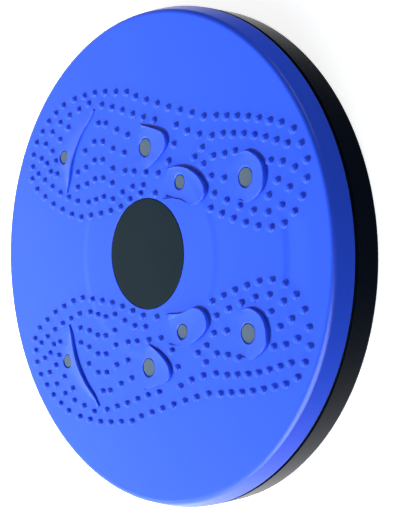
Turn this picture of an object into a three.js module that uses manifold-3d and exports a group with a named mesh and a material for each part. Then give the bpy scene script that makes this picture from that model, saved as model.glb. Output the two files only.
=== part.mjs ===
// Waist twisting disc: a round plate with two footprints of massage nubs turns on a ring of steel balls
// above a ribbed base plate, held together by one bolt through the middle.
// Millimetres, +Z up, origin on the floor under the disc's axis, toes towards +Y, right foot on +X.
import * as THREE from "three";
import { mergeVertices } from "three/addons/utils/BufferGeometryUtils.js";
import Module from "manifold-3d";

// Overall sizes
const discRadius = 125.5;
const footProud = 2;
const baseWallHeight = 15.3;
const splitGap = 0.8;
const rimHeight = 10.4;

// Clearances and overlaps
const seatGap = 0.3;
const runGap = 0.35;
const cutOverrun = 2;
const joinDepth = 0.5;
const weldDistance = 0.0005;

// Top plate
const faceThickness = 3.2;
const rimDraft = 2.3;
const rimRound = 3;
const rimWall = 2.8;
const topHubRadius = 16;
const topRibCount = 12;
const topRibThickness = 1.8;
const topRibDepth = 4.8;
const innerRingRadius = 48;

// Massage nubs
const nubHeight = 1.5;
const nubFootRadius = 1.8;
const nubTipRadius = 1.3;
const nubKeepOff = 1;

// Footprints: the room from the right foot's outline to the plane between the feet, to the disc's edge
// beside it and to the edge at its ends, and how far its middle lies towards the heels
const footprintMidRoom = 11.7;
const footprintSideRoom = 38.6;
const footprintEndRoom = 22.5;
const footprintHeelShift = 6;

// Raised pads and their magnets, which lie below the pads' surface in pockets with a wider mouth. The lower
// the fullness, the sooner a pad's step reaches its height from both ends.
const padStep = 2.2;
const padFullness = 0.3;
const magnetThickness = 1.5;
const smallMagnetRadius = 3.4;
const largeMagnetRadius = 4.4;
const magnetDepth = 0.8;
const pocketMouthRoom = 0.8;

// Ball race
const ballRadius = 4;
const ballCount = 24;
const raceInset = 33.1;
const raceHalfWidth = 7;
const cageInset = 0.8;
const cageThickness = 2.4;
const cageClearance = 0.4;

// Centre badge, which lies a little towards the right foot, and pivot
const badgeRadius = 27.6;
const badgeThickness = 0.9;
const badgeShift = 1.8;
const boltRadius = 3;
const boltHeadHeight = 4;
const boltHeadAcrossFlats = 10;
const boltHeadroom = 0.3;
const boltTail = 1;
const nutHeight = 6;
const nutCollarHeight = 1.5;
const washerThickness = 1.2;
const topWasherRadius = 9;
const lowerWasherRadius = 8;
const thrustWasherRadius = 14;
const thrustWasherThickness = 1;
const bushWall = 1.7;
const bushFlangeRadius = 7.5;
const bushFlangeThickness = 1.2;

// Base plate
const deckThickness = 3;
const skirtWall = 2.8;
const shoulderRound = 1;
const baseHubRadius = 15;
const baseHubDepth = 1.8;
const baseRibCount = 12;
const baseRibThickness = 2;
const baseRibDepth = 8.3;
const baseRingRibHalfWidth = 1.1;

// Rubber feet
const footCount = 6;
const footRadius = 8;
const footThickness = 4.2;
const footEdgeRound = 0.8;
const footInset = 17.5;
const socketWall = 1.8;
const socketLedge = 1.6;

// Faceting
const plateSides = 48;
const smallSides = 20;
const hexagonSides = 6;
const filletSteps = 3;
const grooveSteps = 5;
const nubSides = 5;
const pocketSides = 12;
const cagePocketSides = 10;
const ballSides = 8;
const ballRings = 6;
const padSteps = 8;

// Levels above the floor, from the base's lower edge up
const baseEdgeZ = footProud;
const deckTopZ = baseEdgeZ + baseWallHeight;
const deckUnderZ = deckTopZ - deckThickness;
const rimBottomZ = deckTopZ + splitGap;
const faceZ = rimBottomZ + rimHeight;
const faceUnderZ = faceZ - faceThickness;
const badgeSeatZ = faceZ - badgeThickness - seatGap;
const boltHeadTopZ = badgeSeatZ - boltHeadroom;
const boltHeadBottomZ = boltHeadTopZ - boltHeadHeight;
const topWasherZ = boltHeadBottomZ - seatGap - washerThickness;
const counterboreZ = topWasherZ - seatGap;
const thrustWasherZ = deckTopZ + seatGap;
const topHubBottomZ = thrustWasherZ + thrustWasherThickness + seatGap;
const baseHubBottomZ = deckUnderZ - baseHubDepth;
const bushFlangeTopZ = baseHubBottomZ - seatGap;
const bushBottomZ = bushFlangeTopZ - bushFlangeThickness;
const bushTopZ = deckTopZ - seatGap;
const lowerWasherZ = bushBottomZ - seatGap - washerThickness;
const nutTopZ = lowerWasherZ - seatGap;
const nutBottomZ = nutTopZ - nutHeight;
const boltEndZ = nutBottomZ - boltTail;
const ballZ = (deckTopZ + faceUnderZ) / 2;
const cageBottomZ = ballZ - cageThickness / 2;
const lowerRaceZ = cageBottomZ - seatGap;
const upperRaceZ = cageBottomZ + cageThickness + seatGap;
const grooveRadius = ballRadius + runGap;
const boltHoleRadius = boltRadius + seatGap;
const bushRadius = boltHoleRadius + bushWall;
const cageHalfWidth = raceHalfWidth - cageInset - seatGap;

// Places across the disc, from its edge inwards
const racePitchRadius = discRadius - raceInset;
const footRingRadius = discRadius - footInset;
const footprintHalfWidth = (discRadius - footprintSideRoom - footprintMidRoom) / 2;
const footprintHalfLength = discRadius - footprintEndRoom;
const footprintX = footprintMidRoom + footprintHalfWidth;
const footprintY = -footprintHeelShift;

// Rows of nubs on the right foot: the shares that each row runs through, across (of the footprint's half
// width) and along (of its half length) from its middle, and the number of nubs evenly spaced along it
const outerRows = [
  { nubs: 3, throughShares: [[-0.12, 1.01], [0.23, 0.995]] },
  { nubs: 5, throughShares: [[0.41, 0.963], [0.69, 0.85], [0.89, 0.714]] },
  { nubs: 6, throughShares: [[0.95, 0.617], [0.98, 0.43], [0.91, 0.193]] },
  { nubs: 7, throughShares: [[0.83, 0.123], [0.61, -0.126], [0.43, -0.36]] },
  { nubs: 7, throughShares: [[0.41, -0.44], [0.34, -0.65], [0.22, -0.842]] },
  {
    nubs: 8,
    throughShares: [[0.13, -0.912], [-0.23, -0.985], [-0.64, -0.96], [-0.95, -0.857], [-1, -0.774]],
  },
  { nubs: 5, throughShares: [[-0.98, -0.694], [-0.88, -0.55], [-0.73, -0.395]] },
  { nubs: 1, throughShares: [[-0.51, -0.007]] },
  { nubs: 7, throughShares: [[-0.52, 0.096], [-0.68, 0.336], [-0.74, 0.578]] },
  { nubs: 5, throughShares: [[-0.69, 0.659], [-0.52, 0.822], [-0.28, 0.966]] },
];
const innerRows = [
  { nubs: 8, throughShares: [[-0.06, 0.953], [0.35, 0.886], [0.64, 0.75], [0.85, 0.497]] },
  { nubs: 6, throughShares: [[0.8, 0.39], [0.68, 0.235], [0.54, 0.074], [0.48, -0.014]] },
  { nubs: 4, throughShares: [[0.37, -0.169], [0.24, -0.28], [0.17, -0.41]] },
  { nubs: 7, throughShares: [[0.18, -0.482], [0.12, -0.67], [-0.03, -0.875]] },
  {
    nubs: 8,
    throughShares: [[-0.32, -0.915], [-0.73, -0.845], [-0.82, -0.76], [-0.72, -0.58], [-0.55, -0.42]],
  },
  { nubs: 4, throughShares: [[-0.37, 0.079], [-0.38, 0.17], [-0.52, 0.316]] },
  { nubs: 3, throughShares: [[-0.48, 0.389], [-0.54, 0.516]] },
  { nubs: 5, throughShares: [[-0.51, 0.607], [-0.36, 0.76], [-0.16, 0.895]] },
];
const shortRows = [
  { nubs: 2, throughShares: [[-0.05, 0.839], [0.08, 0.873]] },
  { nubs: 2, throughShares: [[-0.09, 0.782], [0.1, 0.792]] },
  { nubs: 3, throughShares: [[0.25, 0.821], [0.56, 0.675]] },
  { nubs: 2, throughShares: [[-0.31, 0.603], [-0.1, 0.601]] },
  { nubs: 3, throughShares: [[-0.28, 0.526], [0.19, 0.536]] },
  { nubs: 3, throughShares: [[-0.22, 0.459], [0.3, 0.459]] },
  { nubs: 1, throughShares: [[0.55, 0.421]] },
  { nubs: 4, throughShares: [[-0.22, 0.392], [0.29, 0.389], [0.53, 0.363]] },
  { nubs: 2, throughShares: [[-0.3, 0.319], [-0.1, 0.312]] },
  { nubs: 2, throughShares: [[0.17, 0.307], [0.42, 0.275]] },
  { nubs: 3, throughShares: [[-0.15, 0.216], [0.08, 0.22], [0.33, 0.191]] },
  { nubs: 3, throughShares: [[-0.17, 0.147], [-0.23, -0.033]] },
  { nubs: 2, throughShares: [[-0.08, -0.113], [0.13, -0.151]] },
  { nubs: 1, throughShares: [[-0.07, -0.292]] },
  { nubs: 2, throughShares: [[-0.17, -0.351], [0.04, -0.345]] },
  { nubs: 2, throughShares: [[-0.33, -0.401], [-0.08, -0.418]] },
  { nubs: 2, throughShares: [[-0.37, -0.486], [-0.07, -0.49]] },
  { nubs: 1, throughShares: [[-0.05, -0.559]] },
  { nubs: 3, throughShares: [[-0.62, -0.762], [-0.43, -0.819], [-0.24, -0.845]] },
  { nubs: 1, throughShares: [[-0.21, -0.776]] },
];

// Each pad is a ramp: a step on the heel side, running out flush on the toe side. The step and the line
// where it runs out share their two ends. riseShare is the step's height, of the full step, and liftShare
// is the pad's height at its magnet, of its own step.
const pads = [
  {
    name: "toe",
    magnetRadius: smallMagnetRadius,
    magnetShare: [0.16, 0.716],
    riseShare: 0.7,
    liftShare: 0.27,
    stepShares: [
      [-0.36, 0.685], [-0.2, 0.662], [0, 0.643], [0.2, 0.612], [0.44, 0.55], [0.63, 0.477], [0.745, 0.445],
    ],
    fadeShares: [[-0.36, 0.685], [-0.1, 0.745], [0.12, 0.765], [0.34, 0.725], [0.6, 0.6], [0.745, 0.445]],
  },
  {
    name: "ball",
    magnetRadius: largeMagnetRadius,
    magnetShare: [0.15, 0.055],
    riseShare: 0.75,
    liftShare: 0.37,
    stepShares: [
      [-0.14, 0.035], [-0.05, -0.035], [0.1, -0.1], [0.2, -0.113], [0.3, -0.095], [0.37, -0.035],
      [0.45, 0.075],
    ],
    fadeShares: [[-0.14, 0.035], [-0.07, 0.12], [0.15, 0.16], [0.37, 0.14], [0.45, 0.075]],
  },
  {
    name: "arch",
    magnetRadius: smallMagnetRadius,
    magnetShare: [-0.35, -0.194],
    riseShare: 0.85,
    liftShare: 0.44,
    stepShares: [
      [-0.56, -0.09], [-0.58, -0.2], [-0.66, -0.3], [-0.6, -0.357], [-0.48, -0.378], [-0.33, -0.345],
      [-0.2, -0.27], [-0.155, -0.19], [-0.17, -0.11],
    ],
    fadeShares: [[-0.56, -0.09], [-0.47, -0.05], [-0.35, -0.04], [-0.24, -0.06], [-0.17, -0.11]],
  },
  {
    name: "heel",
    magnetRadius: largeMagnetRadius,
    magnetShare: [-0.365, -0.627],
    riseShare: 0.8,
    liftShare: 0.45,
    stepShares: [
      [-0.65, -0.6], [-0.67, -0.65], [-0.6, -0.712], [-0.49, -0.742], [-0.36, -0.752], [-0.23, -0.742],
      [-0.12, -0.705], [-0.05, -0.65], [-0.07, -0.6],
    ],
    fadeShares: [[-0.65, -0.6], [-0.55, -0.545], [-0.36, -0.52], [-0.17, -0.545], [-0.07, -0.6]],
  },
];

// Materials
const bluePlastic = new THREE.MeshStandardMaterial({ color: 0x3f68f5, roughness: 0.38, metalness: 0 });
const blackPlastic = new THREE.MeshStandardMaterial({ color: 0x111317, roughness: 0.45, metalness: 0 });
const badgePlastic = new THREE.MeshStandardMaterial({ color: 0x26363b, roughness: 0.5, metalness: 0 });
const nylon = new THREE.MeshStandardMaterial({ color: 0xe9e6dc, roughness: 0.5, metalness: 0 });
const ferrite = new THREE.MeshStandardMaterial({ color: 0x7d8580, roughness: 0.5, metalness: 0.5 });
const steel = new THREE.MeshStandardMaterial({ color: 0xb9bcc0, roughness: 0.3, metalness: 1 });
const brass = new THREE.MeshStandardMaterial({ color: 0xb08d4a, roughness: 0.35, metalness: 1 });
const rubber = new THREE.MeshStandardMaterial({ color: 0x1b1b1c, roughness: 0.85, metalness: 0 });

const wasm = await Module();
wasm.setup();

// A closed mesh as a solid that can be joined and cut.
function solidOf(geometry) {
  const bare = geometry.clone();
  bare.deleteAttribute("normal");
  bare.deleteAttribute("uv");
  const merged = mergeVertices(bare, weldDistance);
  return new wasm.Manifold(
    new wasm.Mesh({
      numProp: 3,
      vertProperties: new Float32Array(merged.attributes.position.array),
      triVerts: new Uint32Array(merged.index.array),
    }),
  );
}

// A solid's faces as a flat shaded geometry.
function geometryOf(solid) {
  const faces = solid.getMesh();
  const geometry = new THREE.BufferGeometry();
  geometry.setAttribute("position", new THREE.BufferAttribute(new Float32Array(faces.vertProperties), 3));
  geometry.setIndex(new THREE.BufferAttribute(new Uint32Array(faces.triVerts), 1));
  const flat = geometry.toNonIndexed();
  flat.computeVertexNormals();
  return flat;
}

// A profile of [radius, height] points, anticlockwise, turned about the Z axis.
function turned(profile, sides) {
  const closed = [...profile, profile[0]].map(([r, z]) => new THREE.Vector2(r, z));
  return new THREE.LatheGeometry(closed, sides).rotateX(Math.PI / 2);
}

// A flat ring between two radii and two heights, or a disc where the inner radius is zero.
function ring(inner, outer, bottom, top, sides) {
  const profile = [[inner, bottom], [outer, bottom], [outer, top], [inner, top]];
  if (inner > 0) {
    return turned(profile, sides);
  }
  const points = profile.map(([r, z]) => new THREE.Vector2(r, z));
  return new THREE.LatheGeometry(points, sides).rotateX(Math.PI / 2);
}

// Points on an arc about a centre, angles in degrees.
function arc([r, z], radius, from, to, steps) {
  return Array.from({ length: steps + 1 }, (_, i) => {
    const angle = THREE.MathUtils.degToRad(from + ((to - from) * i) / steps);
    return [r + radius * Math.cos(angle), z + radius * Math.sin(angle)];
  });
}

// The n angles of an even circle of pieces, in radians, the first one at a share of a step.
function circleAngles(count, startShare) {
  return Array.from({ length: count }, (_, i) => ((i + startShare) * 2 * Math.PI) / count);
}

// An upright bar along a radius, from one radius to another.
function radialBar(from, to, thickness, bottom, top, angle) {
  const bar = new THREE.BoxGeometry(to - from, thickness, top - bottom);
  return bar.translate((from + to) / 2, 0, (bottom + top) / 2).rotateZ(angle);
}

function placed(geometry, x, y) {
  return geometry.clone().translate(x, y, 0);
}

// A point of the footprint; side is 1 for the right foot and -1 for the left.
function footprintPoint([across, along], side) {
  const x = footprintX + across * footprintHalfWidth;
  const y = footprintY + along * footprintHalfLength;
  return new THREE.Vector2(side * x, y);
}

// The smooth curve through some shares of the right footprint, from the first to the last.
function footprintCurve(shares) {
  const points = shares.map((share) => {
    const { x, y } = footprintPoint(share, 1);
    return new THREE.Vector3(x, y, 0);
  });
  return new THREE.CatmullRomCurve3(points, false, "centripetal");
}

function rowPlaces({ nubs, throughShares }) {
  if (nubs === 1) {
    return [footprintPoint(throughShares[0], 1)];
  }
  return footprintCurve(throughShares).getSpacedPoints(nubs - 1);
}

// The pad's outline: along the step and back along the line where the ramp runs out.
function padOutline(pad) {
  const step = footprintCurve(pad.stepShares).getSpacedPoints(padSteps);
  const fade = footprintCurve(pad.fadeShares).getSpacedPoints(padSteps);
  return { step, fade, loop: [...step, ...fade.slice(1, -1).reverse()] };
}

function insideLoop(point, loop) {
  let inside = false;
  loop.forEach((a, i) => {
    const b = loop[(i + 1) % loop.length];
    const crosses = a.y > point.y !== b.y > point.y;
    if (crosses && point.x < a.x + ((b.x - a.x) * (point.y - a.y)) / (b.y - a.y)) {
      inside = !inside;
    }
  });
  return inside;
}

// Whether a nub stands clear of every pad and its step.
function clearOfPads(point) {
  const room = nubFootRadius + nubKeepOff;
  return pads.every((pad) => {
    const { step, loop } = padOutline(pad);
    const nearest = Math.min(...step.map((p) => Math.hypot(p.x - point.x, p.y - point.y)));
    return !insideLoop(point, loop) && nearest > room;
  });
}

// Moves a nub that would reach the centre badge's recess out to its edge.
function besideBadge(x, y) {
  const least = badgeRadius + 2 * seatGap + nubFootRadius;
  const distance = Math.hypot(x - badgeShift, y);
  const factor = Math.max(1, least / distance);
  return { x: badgeShift + (x - badgeShift) * factor, y: y * factor };
}

const nubPlaces = [...outerRows, ...innerRows, ...shortRows].flatMap(rowPlaces).filter(clearOfPads);

// A nub of the top plate: a blunt cone rooted in the face.
function nubSolid({ x, y }) {
  const height = nubHeight + joinDepth;
  const cone = new THREE.CylinderGeometry(nubTipRadius, nubFootRadius, height, nubSides);
  return solidOf(cone.rotateX(Math.PI / 2).translate(x, y, faceZ - joinDepth + height / 2));
}

// A pad's ramp as a strip of triangular sections that narrows to a point at both ends.
function padSolid(pad, side) {
  const { step, fade } = padOutline(pad);
  const low = faceZ - joinDepth;
  const points = [];
  for (let i = 1; i < padSteps; i += 1) {
    const height = padStep * pad.riseShare * Math.sin((Math.PI * i) / padSteps) ** padFullness;
    points.push(side * step[i].x, step[i].y, low - joinDepth);
    points.push(side * step[i].x, step[i].y, faceZ + height);
    points.push(side * fade[i].x, fade[i].y, low);
  }
  const corners = side > 0 ? [0, 2, 1] : [0, 1, 2];
  const sections = padSteps - 1;
  const firstTip = sections * 3;
  const lastTip = firstTip + 1;
  points.push(side * step[0].x, step[0].y, low);
  points.push(side * step[padSteps].x, step[padSteps].y, low);
  const faces = [];
  for (let i = 0; i < sections - 1; i += 1) {
    for (let k = 0; k < 3; k += 1) {
      const a = i * 3 + corners[k];
      const b = i * 3 + corners[(k + 1) % 3];
      faces.push(a, b, a + 3, b, b + 3, a + 3);
    }
  }
  for (let k = 0; k < 3; k += 1) {
    const a = corners[k];
    const b = corners[(k + 1) % 3];
    faces.push(firstTip, b, a);
    faces.push(lastTip, firstTip - 3 + a, firstTip - 3 + b);
  }
  const geometry = new THREE.BufferGeometry();
  geometry.setAttribute("position", new THREE.Float32BufferAttribute(points, 3));
  geometry.setIndex(faces);
  return solidOf(geometry);
}

// The height of a pad's surface at its magnet.
function magnetSurfaceZ(pad) {
  return faceZ + pad.liftShare * pad.riseShare * padStep;
}

function magnetTopZ(pad) {
  return magnetSurfaceZ(pad) - magnetDepth;
}

// A magnet's pocket: a bore with a conical mouth.
function magnetPocket(pad, side) {
  const { x, y } = footprintPoint(pad.magnetShare, side);
  const bore = pad.magnetRadius + seatGap;
  const mouth = bore + pocketMouthRoom;
  const bottom = magnetTopZ(pad) - magnetThickness - seatGap;
  const top = faceZ + padStep + cutOverrun;
  const profile = [
    [0, bottom],
    [bore, bottom],
    [bore, magnetTopZ(pad)],
    [mouth, magnetSurfaceZ(pad)],
    [mouth, top],
    [0, top],
  ];
  const points = profile.map(([r, z]) => new THREE.Vector2(r, z));
  return solidOf(placed(new THREE.LatheGeometry(points, pocketSides).rotateX(Math.PI / 2), x, y));
}

// The recess of the centre badge.
function badgeRecess() {
  const recess = ring(0, badgeRadius + seatGap, badgeSeatZ, faceZ + cutOverrun, plateSides);
  return solidOf(placed(recess, badgeShift, 0));
}

// Half the width of a ball groove where it opens onto a race's flat top.
const grooveOpening = Math.sqrt(grooveRadius ** 2 - (ballZ - lowerRaceZ) ** 2);
const grooveAngle = THREE.MathUtils.radToDeg(Math.atan2(ballZ - lowerRaceZ, grooveOpening));

function topPlate() {
  const crestRadius = discRadius - rimDraft;
  const flatRadius = crestRadius - rimRound;
  const rimInnerTop = crestRadius - rimWall;
  const ringInner = innerRingRadius - topRibThickness / 2;
  const ringOuter = innerRingRadius + topRibThickness / 2;
  const ribBottomZ = faceUnderZ - topRibDepth;
  const raceInner = racePitchRadius - raceHalfWidth;
  const raceOuter = racePitchRadius + raceHalfWidth;
  const groove = arc([racePitchRadius, ballZ], grooveRadius, 180 - grooveAngle, grooveAngle, grooveSteps);
  const profile = [
    [boltHoleRadius, topHubBottomZ],
    [topHubRadius, topHubBottomZ],
    [topHubRadius, faceUnderZ],
    [ringInner, faceUnderZ],
    [ringInner, ribBottomZ],
    [ringOuter, ribBottomZ],
    [ringOuter, faceUnderZ],
    [raceInner, faceUnderZ],
    [raceInner, upperRaceZ],
    ...groove,
    [raceOuter, upperRaceZ],
    [raceOuter, faceUnderZ],
    [rimInnerTop, faceUnderZ],
    [discRadius - rimWall, rimBottomZ],
    [discRadius, rimBottomZ],
    ...arc([flatRadius, faceZ - rimRound], rimRound, 0, 90, filletSteps),
    [topWasherRadius + seatGap, faceZ],
    [topWasherRadius + seatGap, counterboreZ],
    [boltHoleRadius, counterboreZ],
  ];
  const ribFrom = topHubRadius - joinDepth;
  const ribTo = raceInner + joinDepth;
  const ribs = circleAngles(topRibCount, 0).map((angle) =>
    solidOf(radialBar(ribFrom, ribTo, topRibThickness, ribBottomZ, faceUnderZ + joinDepth, angle)),
  );
  const raised = [1, -1].flatMap((side) => [
    ...nubPlaces.map(({ x, y }) => nubSolid(besideBadge(side * x, y))),
    ...pads.map((pad) => padSolid(pad, side)),
  ]);
  const cuts = [badgeRecess(), ...[1, -1].flatMap((side) => pads.map((pad) => magnetPocket(pad, side)))];
  const whole = wasm.Manifold.union([solidOf(turned(profile, plateSides)), ...ribs, ...raised]);
  return geometryOf(whole.subtract(wasm.Manifold.union(cuts)));
}

function basePlate() {
  const ribBottomZ = deckUnderZ - baseRibDepth;
  const ringInner = racePitchRadius - baseRingRibHalfWidth;
  const ringOuter = racePitchRadius + baseRingRibHalfWidth;
  const raceInner = racePitchRadius - raceHalfWidth;
  const raceOuter = racePitchRadius + raceHalfWidth;
  const skirtInner = discRadius - skirtWall;
  const groove = arc([racePitchRadius, ballZ], grooveRadius, -grooveAngle, grooveAngle - 180, grooveSteps);
  const profile = [
    [bushRadius + seatGap, baseHubBottomZ],
    [baseHubRadius, baseHubBottomZ],
    [baseHubRadius, deckUnderZ],
    [ringInner, deckUnderZ],
    [ringInner, ribBottomZ],
    [ringOuter, ribBottomZ],
    [ringOuter, deckUnderZ],
    [skirtInner, deckUnderZ],
    [skirtInner, baseEdgeZ],
    [discRadius - shoulderRound, baseEdgeZ],
    [discRadius, baseEdgeZ + shoulderRound],
    [discRadius, deckTopZ - shoulderRound],
    [discRadius - shoulderRound, deckTopZ],
    [raceOuter, deckTopZ],
    [raceOuter, lowerRaceZ],
    ...groove,
    [raceInner, lowerRaceZ],
    [raceInner, deckTopZ],
    [bushRadius + seatGap, deckTopZ],
  ];
  const ribs = circleAngles(baseRibCount, 0).map((angle) => {
    const from = baseHubRadius - joinDepth;
    const to = skirtInner + joinDepth;
    return solidOf(radialBar(from, to, baseRibThickness, ribBottomZ, deckUnderZ + joinDepth, angle));
  });
  const socketRadius = footRadius + seatGap;
  const socketTopZ = footThickness + seatGap;
  const sockets = footPlaces.map(({ x, y }) => {
    const boss = ring(0, socketRadius + socketWall, baseEdgeZ, deckUnderZ + joinDepth, smallSides);
    return solidOf(placed(boss, x, y));
  });
  const hollows = footPlaces.flatMap(({ x, y }) => [
    solidOf(placed(ring(0, socketRadius, baseEdgeZ - cutOverrun, socketTopZ, smallSides), x, y)),
    solidOf(placed(ring(0, footRadius - socketLedge, baseEdgeZ, deckUnderZ, smallSides), x, y)),
  ]);
  const whole = wasm.Manifold.union([solidOf(turned(profile, plateSides)), ...ribs, ...sockets]);
  return geometryOf(whole.subtract(wasm.Manifold.union(hollows)));
}

// A ring that keeps the balls evenly apart.
function ballCage() {
  const inner = racePitchRadius - cageHalfWidth;
  const outer = racePitchRadius + cageHalfWidth;
  const band = solidOf(ring(inner, outer, cageBottomZ, cageBottomZ + cageThickness, plateSides));
  const pocketBottom = cageBottomZ - cutOverrun;
  const pocketTop = cageBottomZ + cageThickness + cutOverrun;
  const pocket = ring(0, ballRadius + cageClearance, pocketBottom, pocketTop, cagePocketSides);
  const pockets = ballPlaces.map(({ x, y, angle }) => solidOf(placed(pocket.clone().rotateZ(angle), x, y)));
  return geometryOf(band.subtract(wasm.Manifold.union(pockets)));
}

// A six sided bar between two heights, wide across its flats.
function hexagon(acrossFlats, bottom, top) {
  return ring(0, acrossFlats / (2 * Math.cos(Math.PI / hexagonSides)), bottom, top, hexagonSides);
}

// A hexagon head bolt, head up.
function pivotBolt() {
  const head = solidOf(hexagon(boltHeadAcrossFlats, boltHeadBottomZ, boltHeadTopZ));
  const shank = solidOf(ring(0, boltRadius, boltEndZ, boltHeadBottomZ + joinDepth, smallSides));
  return geometryOf(head.add(shank));
}

// A self locking nut: a hexagon with a round collar at its lower end.
function lockNut() {
  const collarTopZ = nutBottomZ + nutCollarHeight;
  const body = solidOf(hexagon(boltHeadAcrossFlats, collarTopZ, nutTopZ));
  const collarRadius = boltHeadAcrossFlats / 2 - seatGap;
  const collar = solidOf(ring(0, collarRadius, nutBottomZ, collarTopZ + joinDepth, smallSides));
  const bore = ring(0, boltHoleRadius, nutBottomZ - cutOverrun, nutTopZ + cutOverrun, smallSides);
  return geometryOf(body.add(collar).subtract(solidOf(bore)));
}

// A flanged sleeve that lines the base plate's hole.
function pivotBush() {
  const profile = [
    [boltHoleRadius, bushBottomZ],
    [bushFlangeRadius, bushBottomZ],
    [bushFlangeRadius, bushFlangeTopZ],
    [bushRadius, bushFlangeTopZ],
    [bushRadius, bushTopZ],
    [boltHoleRadius, bushTopZ],
  ];
  return turned(profile, smallSides);
}

function rubberFoot() {
  const profile = [
    [0, 0],
    [footRadius - footEdgeRound, 0],
    [footRadius, footEdgeRound],
    [footRadius, footThickness],
    [0, footThickness],
  ];
  const points = profile.map(([r, z]) => new THREE.Vector2(r, z));
  return new THREE.LatheGeometry(points, smallSides).rotateX(Math.PI / 2);
}

// Places round the disc
const footPlaces = circleAngles(footCount, 0.5).map((angle) => ({
  x: footRingRadius * Math.cos(angle),
  y: footRingRadius * Math.sin(angle),
}));
const ballPlaces = circleAngles(ballCount, 0.5).map((angle) => ({
  x: racePitchRadius * Math.cos(angle),
  y: racePitchRadius * Math.sin(angle),
  angle,
}));

const group = new THREE.Group();

// Adds one named piece to a group.
function addPiece(parent, name, geometry, material) {
  const piece = new THREE.Mesh(geometry, material);
  piece.name = name;
  parent.add(piece);
  return piece;
}

function twoDigits(index) {
  return String(index + 1).padStart(2, "0");
}

// The half that turns
const turning = new THREE.Group();
group.add(turning);
addPiece(turning, "top_plate", topPlate(), bluePlastic);
const centreBadge = ring(0, badgeRadius, faceZ - badgeThickness, faceZ, plateSides);
addPiece(turning, "centre_badge", centreBadge, badgePlastic).position.x = badgeShift;
for (const [sideName, side] of [["right", 1], ["left", -1]]) {
  for (const pad of pads) {
    const { x, y } = footprintPoint(pad.magnetShare, side);
    const disc = ring(0, pad.magnetRadius, -magnetThickness, 0, pocketSides);
    const magnet = addPiece(turning, `magnet_${sideName}_${pad.name}`, disc, ferrite);
    magnet.position.set(x, y, magnetTopZ(pad));
  }
}
addPiece(turning, "pivot_bolt", pivotBolt(), steel);
const topWasher = ring(boltHoleRadius, topWasherRadius, topWasherZ, topWasherZ + washerThickness, smallSides);
addPiece(turning, "top_washer", topWasher, steel);
const lowerWasherTopZ = lowerWasherZ + washerThickness;
const lowerWasher = ring(boltHoleRadius, lowerWasherRadius, lowerWasherZ, lowerWasherTopZ, smallSides);
addPiece(turning, "lower_washer", lowerWasher, steel);
addPiece(turning, "lock_nut", lockNut(), steel);

// The balls and their cage
addPiece(group, "ball_cage", ballCage(), nylon);
ballPlaces.forEach(({ x, y, angle }, i) => {
  const sphere = new THREE.SphereGeometry(ballRadius, ballSides, ballRings).rotateZ(Math.PI / 2);
  const ball = addPiece(group, `ball_${twoDigits(i)}`, sphere, steel);
  ball.position.set(x, y, ballZ);
  ball.rotation.z = angle;
});

// The half that stands still
const standing = new THREE.Group();
group.add(standing);
addPiece(standing, "base_plate", basePlate(), blackPlastic);
addPiece(standing, "pivot_bush", pivotBush(), brass);
const thrustWasherTopZ = thrustWasherZ + thrustWasherThickness;
const thrustWasher = ring(boltHoleRadius, thrustWasherRadius, thrustWasherZ, thrustWasherTopZ, smallSides);
addPiece(standing, "thrust_washer", thrustWasher, nylon);
footPlaces.forEach(({ x, y }, i) => {
  const foot = addPiece(standing, `rubber_foot_${i + 1}`, rubberFoot(), rubber);
  foot.position.set(x, y, 0);
});

export default group;
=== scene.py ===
"""Waist twisting disc: fine surfaces, materials, floor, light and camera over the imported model."""

from bisect import bisect_left
from math import atan2, cos, degrees, hypot, pi, radians, sin, sqrt, tan

import bpy
from mathutils import Matrix, Vector


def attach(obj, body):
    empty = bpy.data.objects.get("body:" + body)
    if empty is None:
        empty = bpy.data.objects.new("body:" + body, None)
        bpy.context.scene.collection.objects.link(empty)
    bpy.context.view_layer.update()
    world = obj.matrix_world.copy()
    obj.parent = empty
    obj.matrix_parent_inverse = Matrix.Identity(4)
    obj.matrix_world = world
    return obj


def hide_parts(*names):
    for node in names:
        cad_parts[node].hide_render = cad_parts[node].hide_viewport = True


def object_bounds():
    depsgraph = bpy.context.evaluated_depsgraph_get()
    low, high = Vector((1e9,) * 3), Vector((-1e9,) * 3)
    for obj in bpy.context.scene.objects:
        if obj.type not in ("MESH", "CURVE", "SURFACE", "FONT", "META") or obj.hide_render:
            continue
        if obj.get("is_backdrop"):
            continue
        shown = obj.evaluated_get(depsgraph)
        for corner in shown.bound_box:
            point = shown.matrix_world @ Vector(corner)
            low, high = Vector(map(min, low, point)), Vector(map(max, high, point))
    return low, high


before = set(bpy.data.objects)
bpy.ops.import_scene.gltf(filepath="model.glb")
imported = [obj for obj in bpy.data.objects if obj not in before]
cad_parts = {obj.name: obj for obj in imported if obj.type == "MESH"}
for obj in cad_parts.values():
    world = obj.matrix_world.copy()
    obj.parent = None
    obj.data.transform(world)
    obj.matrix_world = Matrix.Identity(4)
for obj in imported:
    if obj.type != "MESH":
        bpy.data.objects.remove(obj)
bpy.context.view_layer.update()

# Sizes are in millimetres, and solid() writes meshes in metres
MM = 0.001
ROUND_SIDES = 240
DISC_RADIUS = 125.5
WALL = 2.8
GAP = 0.3

# How far one form reaches into another that it is joined to
ROOT = 0.5

# The plate
FACE = 28.5
FACE_UNDER = 25.3
RIM_BOTTOM = 18.1
RIM_DRAFT = 2.3
RIM_ROUND = 3.0
HUB_RADIUS = 16
HUB_BOTTOM = 18.9
HEAD_ROOM_RADIUS = 9.3
HEAD_SEAT = 21.2
PLATE_RING_RIB = (47.1, 48.9)
PLATE_RIB_BOTTOM = 20.5
PLATE_RIB_HALF = 0.9
RIB_COUNT = 12

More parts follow.
